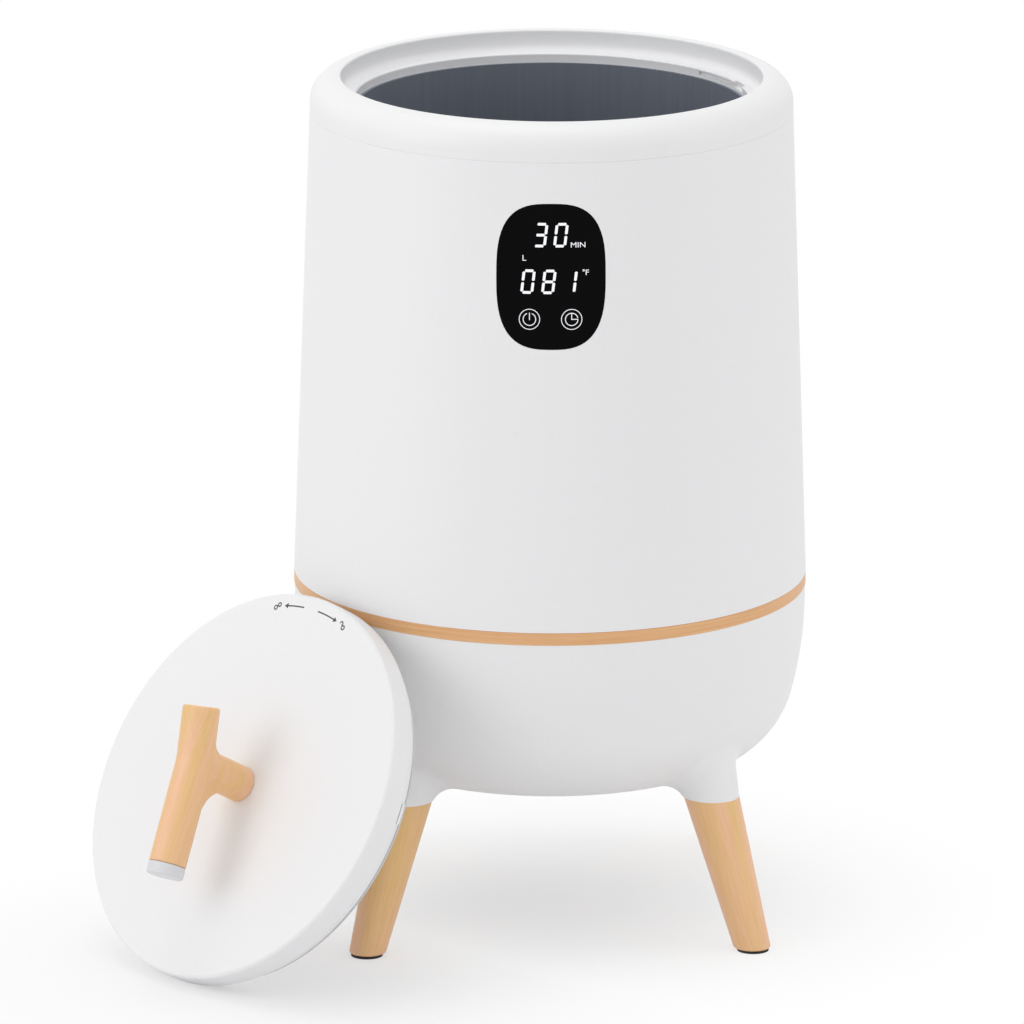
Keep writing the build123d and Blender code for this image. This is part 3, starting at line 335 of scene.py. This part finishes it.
# %% Lid axes
lid_middle = Vector(joints["lid_turn"]["pos_m"])
lid_out = Vector(joints["lid_turn"]["axis"]).normalized()
lid_up = (Vector((0, 0, 1)) - lid_out * lid_out.z).normalized()
lid_right = lid_up.cross(lid_out)
lid_place = Matrix((lid_right, lid_up, lid_out)).transposed().to_4x4()
lid_place.translation = lid_middle
print("lid faces", [round(v, 3) for v in lid_out])

# %% [markdown]
# ## The branch handle
# The handle is a forked branch, sanded so smooth that no edge shows where the stem grows out of the grip.
# In CAD it is two rods with a web between them. Here a voxel remesh turns a copy of it into one even skin.
# A full subdivision model could do the same, but the remesh keeps the size that the CAD gives.

# %% Skin of the handle
voxel = 0.7 * MM
bm = bmesh.new()
bm.from_mesh(nodes["lid_handle"].data)
bmesh.ops.remove_doubles(bm, verts=bm.verts, dist=0.001 * MM)
rough_handle = finish_mesh(bm, "rough_handle")
remesh = rough_handle.modifiers.new("skin", "REMESH")
remesh.mode = "VOXEL"
remesh.voxel_size = voxel
skin = bpy.data.meshes.new_from_object(rough_handle.evaluated_get(bpy.context.evaluated_depsgraph_get()))
bpy.data.objects.remove(rough_handle)

# %% [markdown]
# One light pass smooths the voxels' steps all over. Then the skin round the fork is smoothed again and
# again, each time over a smaller reach, so that the web blends in and the smoothing has no visible edge.

# %% Smooth the fork
handle_roll = math.radians(7.0)
fork_height = 31 * MM
fork_reaches = (22, 20, 18, 16, 14)
fork_passes = 6
bm = bmesh.new()
bm.from_mesh(skin)
fork = lid_middle + lid_out * fork_height
bmesh.ops.smooth_vert(bm, verts=bm.verts, factor=0.5, use_axis_x=True, use_axis_y=True, use_axis_z=True)
for reach in fork_reaches:
    near = [vert for vert in bm.verts if (vert.co - fork).length < reach * MM]
    for smoothing in range(fork_passes):
        bmesh.ops.smooth_vert(bm, verts=near, factor=0.5, use_axis_x=True, use_axis_y=True, use_axis_z=True)
handle = finish_mesh(bm, "branch_handle")
grip = lid_up * math.cos(handle_roll) - lid_right * math.sin(handle_roll)
handle.data.materials.append(maple("branch_handle", grip, lid_middle))
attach(handle, "lid")
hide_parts("lid_handle")

# %% [markdown]
# ## Flat figures
# The display's figures and the lid's marks are all flat strokes, so two operators draw most of them: a
# hexagon pulled apart into a bar with pointed ends, and a short edge spun into a ring or an arc. They are
# drawn in millimetres in a plane and laid on their surface later, all in one mesh for each surface.

# %% Bars
def moved(bm, verts, offset):
    """Move some corners in the drawing plane, in millimetres."""
    bmesh.ops.translate(bm, verts=verts, vec=(offset[0], offset[1], 0))


def turned(bm, verts, degrees):
    """Turn some corners about the drawing's origin, counter-clockwise."""
    bmesh.ops.rotate(bm, verts=verts, cent=(0, 0, 0), matrix=Matrix.Rotation(math.radians(degrees), 3, "Z"))


def bar(bm, start, end, stroke):
    """A straight bar with pointed ends, from tip to tip."""
    run = Vector((end[0] - start[0], end[1] - start[1], 0))
    verts = bmesh.ops.create_circle(bm, cap_ends=True, segments=6, radius=stroke / math.sqrt(3))["verts"]
    turned(bm, verts, 90)
    for vert in verts:
        vert.co.x *= math.sqrt(3) / 2
        vert.co.x += math.copysign((run.length - stroke) / 2, vert.co.x)
    turned(bm, verts, math.degrees(math.atan2(run.y, run.x)))
    moved(bm, verts, ((start[0] + end[0]) / 2, (start[1] + end[1]) / 2))
    return verts


# %% Rings and arcs
def arc(bm, centre, radius, stroke, first=0.0, sweep=360.0):
    """A ring or a part of one, from an angle in degrees, counter-clockwise."""
    ends = [bm.verts.new((radius + side * stroke / 2, 0, 0)) for side in (-1, 1)]
    edge = bm.edges.new(ends)
    turned(bm, ends, first)
    before = set(bm.verts) - set(ends)
    bmesh.ops.spin(bm, geom=ends + [edge], cent=(0, 0, 0), axis=(0, 0, 1), angle=math.radians(sweep),
                   steps=max(6, round(sweep / 10)), use_merge=sweep == 360.0)
    verts = [vert for vert in bm.verts if vert not in before]
    moved(bm, verts, centre)
    return verts


# %% [markdown]
# ## The display's digits
# Behind the black window, light guides show two rows of slanted seven-segment digits. Text in a font
# would do, but a real display lights bars, so each digit is a set of bars between the corners of a box,
# with a small gap at each end, and a shear slants it.

# %% Digits
digit_width = 7.4
digit_height = 14.2
digit_stroke = 1.55
segment_gap = 0.42
slant = math.tan(math.radians(6.5))
segment_sets = {"0": "abcdef", "1": "bc", "3": "abcdg", "8": "abcdefg"}
upper_row = 24.3
lower_row = -2.8
digit_places = (("3", -6.0, upper_row), ("0", 5.6, upper_row),
                ("0", -13.1, lower_row), ("8", -1.2, lower_row), ("1", 10.9, lower_row))


def digit(bm, figure, centre):
    """One seven-segment digit about a point."""
    side = (digit_width - digit_stroke) / 2
    half = (digit_height - digit_stroke) / 2
    corners = {"a": ((-side, half), (side, half)), "b": ((side, half), (side, 0)),
               "c": ((side, 0), (side, -half)), "d": ((-side, -half), (side, -half)),
               "e": ((-side, 0), (-side, -half)), "f": ((-side, half), (-side, 0)),
               "g": ((-side, 0), (side, 0))}
    verts = []
    for name in segment_sets[figure]:
        start, end = [Vector(corner) for corner in corners[name]]
        trim = (end - start).normalized() * segment_gap
        verts += bar(bm, start + trim, end - trim, digit_stroke)
    for vert in verts:
        vert.co.x += slant * vert.co.y
    moved(bm, verts, centre)


figures = bmesh.new()
for figure, x, y in digit_places:
    digit(figures, figure, (x, y))
print("digits drawn, corners:", len(figures.verts))

# %% [markdown]
# A few small letters stand beside the digits. They are Blender's own plain font, made a mesh and then
# stretched to a height and a width, and the degree sign is a tiny ring.

# %% Small letters
words = (("MIN", (15.4, 18.6), 3.0, 8.3), ("L", (-15.2, 10.9), 3.2, 2.1), ("F", (20.7, 2.5), 3.1, 1.8))
degree_place = (18.6, 3.7)
degree_radius = 0.45
degree_stroke = 0.35


def letters(bm, text, centre, height, width):
    """Plain letters about a point, stretched to a height and a width."""
    curve = bpy.data.curves.new("letters", "FONT")
    curve.body = text
    writing = bpy.data.objects.new("letters", curve)
    bpy.context.scene.collection.objects.link(writing)
    mesh = bpy.data.meshes.new_from_object(writing.evaluated_get(bpy.context.evaluated_depsgraph_get()))
    bpy.data.objects.remove(writing)
    before = set(bm.verts)
    bm.from_mesh(mesh)
    verts = [vert for vert in bm.verts if vert not in before]
    low = [min(vert.co[k] for vert in verts) for k in (0, 1)]
    high = [max(vert.co[k] for vert in verts) for k in (0, 1)]
    for vert in verts:
        for k, size in ((0, width), (1, height)):
            vert.co[k] = ((vert.co[k] - low[k]) / (high[k] - low[k]) - 0.5) * size + centre[k]
    bmesh.ops.remove_doubles(bm, verts=verts, dist=0.01)


for text, centre, height, width in words:
    letters(figures, text, centre, height, width)
arc(figures, degree_place, degree_radius, degree_stroke)
print("letters drawn, corners:", len(figures.verts))

# %% [markdown]
# Each touch key is a thin ring round a sign. The power sign is an open ring with a bar through its gap,
# and the timer's is a ring with the hands of a clock.

# %% Touch keys
key_drop = -24.7
power_key = -12.2
timer_key = 11.9
key_ring = 5.85
key_stroke = 0.4
sign_ring = 3.6
sign_stroke = 0.45
power_bars = (((0, 3.9), (0, -0.5)),)
timer_hands = (((0, 3.6), (0, -0.3)), ((-0.3, 0), (3.6, 0)))
for x, first, sweep, strokes in (
        (power_key, 112.0, 316.0, power_bars),
        (timer_key, 12.0, 348.0, timer_hands)):
    arc(figures, (x, key_drop), key_ring, key_stroke)
    arc(figures, (x, key_drop), sign_ring, sign_stroke, first, sweep)
    for start, end in strokes:
        bar(figures, (x + start[0], key_drop + start[1]), (x + end[0], key_drop + end[1]), sign_stroke)
print("keys drawn, corners:", len(figures.verts))

# %% [markdown]
# The flat drawing gets a thickness of 0.2 mm. A ray from the front then lands each of its corners on
# the curved window, so that the figures follow it and stand 0.05 mm proud. Their own colour is a dark
# grey, so that the room's light doesn't thicken the strokes, and their glow is a cool white.

# %% Strokes with a thickness
def solid_strokes(bm, thickness, proud):
    """Turn flat faces into closed plates that stand proud of the drawing plane."""
    bmesh.ops.recalc_face_normals(bm, faces=bm.faces)
    for face in bm.faces:
        if face.normal.z < 0:
            face.normal_flip()
    bmesh.ops.solidify(bm, geom=bm.faces, thickness=thickness)
    top = max(vert.co.z for vert in bm.verts)
    bmesh.ops.translate(bm, verts=bm.verts, vec=(0, 0, proud - top))


longest_edge = 2.0
figure_thickness = 0.2
figure_proud = 0.05
long_edges = [edge for edge in figures.edges if edge.calc_length() > longest_edge]
bmesh.ops.subdivide_edges(figures, edges=long_edges, cuts=1)
bmesh.ops.triangulate(figures, faces=figures.faces)
solid_strokes(figures, figure_thickness, figure_proud)
print("edges cut so that they can bend:", len(long_edges))

# %% Lay the figures on the window
ray_run = 0.1
window = nodes["display_window"]
window_low, window_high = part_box("display_window")
window_middle = (window_low.z + window_high.z) / 2
for vert in figures.verts:
    start = Vector((vert.co.x * MM, window_low.y - ray_run, window_middle + vert.co.y * MM))
    hit, place, normal, face = window.ray_cast(start, Vector((0, 1, 0)))
    vert.co = place + normal * vert.co.z * MM
lights = finish_mesh(figures, "display_figures", smooth=False)
lights.data.materials.append(grained(
    "white_light_guides", "#3c3c40", "#38383c", (2, 2, 2), (0.3, 0.4), 0.001,
    Emission_Color=colour("#fafbff"), Emission_Strength=0.95))
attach(lights, "bucket")

# %% [markdown]
# ## The lock marks
# The lid locks with a twist, so its face has a closed padlock, two arrows and an open padlock, pad-printed
# in grey along its edge. An arrow's shaft is an arc round the lid's middle. The padlocks and arrowheads are
# drawn at twelve o'clock and turned about that middle into place. Pad print is a thin, even and nearly matt
# film of ink, so the marks stand only 0.04 mm proud.

# %% Arrows and padlocks
mark_circle = 109.3
mark_stroke = 0.82
head_radius = 1.9
head_back = 1.4
lock_shift = 1.4
lock_rise = 0.75
lock_body = 1.2
lock_shackle = 1.1


def arrow(bm, first, last):
    """An arrow along the mark circle, from one clock angle to the other, in degrees."""
    way = math.copysign(1, last - first)
    arc(bm, (0, 0), mark_circle, mark_stroke, 90 - max(first, last - way), abs(last - way - first))
    head = bmesh.ops.create_circle(bm, cap_ends=True, segments=3, radius=head_radius)["verts"]
    turned(bm, head, -way * 90)
    moved(bm, head, (-way * head_back, mark_circle))
    turned(bm, head, -last)


def padlock(bm, angle, lean, first, sweep):
    """A padlock whose shackle leans to one side; a short sweep leaves the shackle open."""
    body = arc(bm, (-lean * lock_shift, mark_circle - lock_rise), lock_body, mark_stroke)
    shackle = arc(bm, (lean * lock_shift, mark_circle + lock_rise), lock_shackle, mark_stroke, first, sweep)
    turned(bm, body + shackle, -angle)


# %% Lock marks
closed_lock = -15.2
closing_arrow = (-3.8, -12.0)
opening_arrow = (2.6, 11.8)
open_lock = 15.2
open_shackle = (307.0, 250.0)
ink_thickness = 0.1
ink_proud = 0.04
marks = bmesh.new()
padlock(marks, closed_lock, 1, 0.0, 360.0)
arrow(marks, *closing_arrow)
arrow(marks, *opening_arrow)
padlock(marks, open_lock, -1, *open_shackle)
solid_strokes(marks, ink_thickness, ink_proud)
bmesh.ops.transform(marks, verts=marks.verts, matrix=lid_place @ Matrix.Scale(MM, 4))
print_marks = finish_mesh(marks, "lock_marks", smooth=False)
print_marks.data.materials.append(grained(
    "pad_printed_grey_ink", "#4e4e52", "#46464a", (0.4, 0.4, 0.4), (0.5, 0.6), 0.002))
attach(print_marks, "lid")

# %% [markdown]
# ## Camera
# A long lens far away keeps the bucket's sides almost parallel. The camera stands 6.5 m in front, looks
# down by nearly 15 degrees, and is turned and rolled by a hair.

# %% Camera
view_down = math.radians(14.682)
view_turn = math.radians(0.197)
view_roll = math.radians(0.151)
camera_data = bpy.data.cameras.new("camera")
camera_data.sensor_width = 36.0
camera_data.lens = 403.25
camera = bpy.data.objects.new("camera", camera_data)
camera.location = (0, -6.5, 1.9382)
aim = Euler((math.pi / 2 - view_down, 0, view_turn)).to_matrix()
camera.rotation_euler = (aim @ Matrix.Rotation(view_roll, 3, "Z")).to_euler()
bpy.context.scene.collection.objects.link(camera)
bpy.context.scene.camera = camera
print("camera", round(camera.location.length, 2), "m away, lens", round(camera_data.lens, 2), "mm")

# %% [markdown]
# ## What is only seen
# A white background could come from more light, but that would bleach the object. The Light Path node
# tells rays apart instead: the floor and the room look white to the camera, and in mirrors and glass, while
# the light that they throw on the object stays plain.

# %% Rays that see the background
def seen_or_mirrored(tree):
    """1 for camera, mirror and glass rays, 0 for the light that a surface throws on others."""
    path = add(tree, "ShaderNodeLightPath").outputs
    either = add(tree, "ShaderNodeMath", {0: path["Is Camera Ray"], 1: path["Is Glossy Ray"]},
                 operation="MAXIMUM").outputs[0]
    return add(tree, "ShaderNodeMath", {0: either, 1: path["Is Transmission Ray"]},
               operation="MAXIMUM").outputs[0]


# %% [markdown]
# ## Floor
# The floor is a white paper sweep: matt, with no mirror at all. Its seen colour is lifted towards white with
# the distance from the bucket's axis or the lid's foot, whichever is nearer. So the soft shadow stays near
# the object, and the floor runs into the background with no line.

# %% White floor
floor_half = 6.0
floor_drop = 0.2 * MM
lid_foot = (-0.15, -0.17, 0)
fade_distance = 0.3
least_lift = 0.43
bm = bmesh.new()
bmesh.ops.create_grid(bm, x_segments=4, y_segments=4, size=floor_half)
bmesh.ops.translate(bm, verts=bm.verts, vec=(0, 0, -floor_drop))
floor = finish_mesh(bm, "floor", smooth=False)

# %% Matt white paper
paper = bpy.data.materials.new("matt_white_paper_sweep")
paper.use_nodes = True
tree = paper.node_tree
shader = tree.nodes["Principled BSDF"]
shader.inputs["Base Color"].default_value = colour("#f4f4f5")
shader.inputs["Roughness"].default_value = 0.9
shader.inputs["Specular IOR Level"].default_value = 0.0
place = add(tree, "ShaderNodeTexCoord").outputs["Object"]
from_bucket = add(tree, "ShaderNodeVectorMath", {0: place}, operation="LENGTH").outputs["Value"]
from_lid = add(tree, "ShaderNodeVectorMath", {0: place, 1: lid_foot}, operation="DISTANCE").outputs["Value"]
reach = add(tree, "ShaderNodeMath", {0: from_bucket, 1: from_lid}, operation="MINIMUM").outputs[0]
lift = add(tree, "ShaderNodeMapRange", {"Value": reach, "From Max": fade_distance, "To Min": least_lift},
           interpolation_type="SMOOTHSTEP").outputs["Result"]
white = add(tree, "ShaderNodeMath", {0: lift, 1: seen_or_mirrored(tree)}, operation="MULTIPLY").outputs[0]
glow = add(tree, "ShaderNodeEmission", {"Color": (1, 1, 1, 1), "Strength": 1.0}).outputs[0]
mix = add(tree, "ShaderNodeMixShader", {0: white, 1: shader.outputs[0], 2: glow}).outputs[0]
tree.links.new(mix, tree.nodes["Material Output"].inputs["Surface"])
floor.data.materials.append(paper)
print("floor:", paper.name)

# %% [markdown]
# ## Studio light
# The object stands in an almost even white room, which is the world's light. A large softbox on the left
# models the round forms, a weaker one fills from the right, one overhead draws the soft shadow, and a
# faint one low in front keeps the bowl from going grey. The Standard view transform then shows each colour
# as it is written.

# %% White room
room_level = 0.7
world = bpy.data.worlds.new("white_room")
world.use_nodes = True
bpy.context.scene.world = world
tree = world.node_tree
level = add(tree, "ShaderNodeMapRange", {"Value": seen_or_mirrored(tree), "To Min": room_level})
tree.links.new(level.outputs["Result"], tree.nodes["Background"].inputs["Strength"])
tree.nodes["Background"].inputs["Color"].default_value = (1, 1, 1, 1)
print("room level", room_level)

# %% Softboxes
lamp_aim = Vector((0, 0, 0.25))


def softbox(name, place, size, power):
    """A studio softbox, aimed at the middle of the bucket."""
    data = bpy.data.lights.new(name, "AREA")
    data.shape = "RECTANGLE"
    data.size, data.size_y = size
    data.energy = power
    lamp = bpy.data.objects.new(name, data)
    lamp.location = place
    lamp.rotation_euler = (lamp_aim - Vector(place)).to_track_quat("-Z", "Y").to_euler()
    bpy.context.scene.collection.objects.link(lamp)
    print(name, power, "W")


softbox("left_box", (-2.4, -1.2, 1.3), (1.4, 2.0), 15)
softbox("right_box", (2.4, -0.6, 1.1), (1.4, 2.0), 7.5)
softbox("top_box", (-0.3, 0.2, 2.4), (1.4, 1.4), 9.5)
softbox("front_low_box", (0.6, -3.2, 0.7), (2.4, 1.2), 3)
bpy.context.scene.view_settings.view_transform = "Standard"
